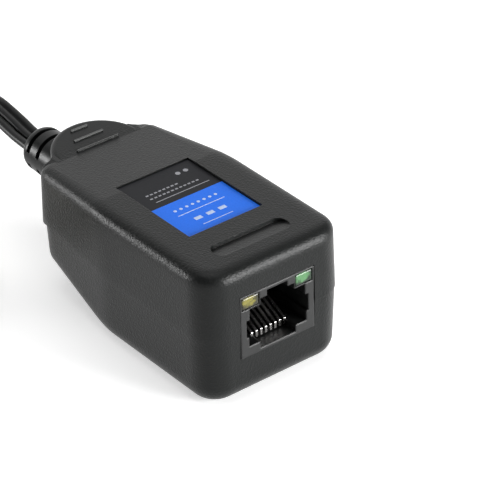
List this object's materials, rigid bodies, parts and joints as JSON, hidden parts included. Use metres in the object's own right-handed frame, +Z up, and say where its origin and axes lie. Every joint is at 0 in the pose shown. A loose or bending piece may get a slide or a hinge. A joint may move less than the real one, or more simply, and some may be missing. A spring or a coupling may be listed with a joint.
{
  "type": "video balun",
  "caption": "Moulded block with a modular socket and lamps in front, a ribbed rear grip and a slotted strain relief with two short leads, one to a bayonet plug and one to a power plug.",
  "frame": {"origin": "under the middle of the moulded body with its strain relief, on the surface that it stands on", "axes": "+X across the body, to the right seen from behind the leads' end looking at the socket's back; +Y from the socket towards the leads; +Z up, towards the label"},
  "size_m": [0.0587, 0.1454, 0.0264],
  "materials": {
    "housing": "fine-grained matt moulding",
    "label": "printed film, satin",
    "jack": "smooth black moulding",
    "contact": "gold-plated spring wire",
    "lamp_yellow": "clear resin, lit",
    "lamp_green": "clear resin, lit",
    "board": "coated laminate",
    "spool": "natural nylon",
    "winding": "enamelled copper wire",
    "core": "dark ceramic",
    "surge": "moulded case, tinned tabs",
    "chip": "ceramic body, tinned ends",
    "lead": "soft sheath",
    "grip": "moulded over the plug",
    "plug_metal": "nickel plate",
    "insulator": "white resin",
    "pin": "gold plate",
    "gasket": "silicone ring",
    "sleeve": "black resin"
  },
  "bodies": {
    "moulding": {"housing": "housing", "label": "label", "jack_shell": "jack", "contact_carrier": "jack", "contact_1": "contact", "contact_2": "contact", "contact_3": "contact", "contact_4": "contact", "contact_5": "contact", "contact_6": "contact", "contact_7": "contact", "contact_8": "contact", "lamp_yellow": "lamp_yellow", "lamp_green": "lamp_green", "circuit_board": "board", "transformer_spool": "spool", "transformer_winding": "winding", "transformer_core_lower": "core", "transformer_core_upper": "core", "surge_arrester_1": "surge", "surge_arrester_2": "surge", "line_resistor": "chip", "line_capacitor": "chip", "video_lead": "lead", "power_lead": "lead", "video_plug_grip": "grip", "video_plug_shell": "plug_metal", "video_plug_insulator": "insulator", "video_plug_pin": "pin", "video_plug_gasket": "gasket", "power_plug_grip": "grip", "power_plug_barrel": "plug_metal", "power_plug_sleeve": "sleeve", "power_plug_socket": "plug_metal"},
    "coupling": {"video_plug_coupling": "plug_metal"}
  },
  "joints": [
    {"name": "coupling_turn", "type": "hinge", "parent": "moulding", "child": "coupling", "pos_m": [-0.0255, 0.03, 0.0072], "axis": [0, -1, 0], "continuous": true}
  ]
}
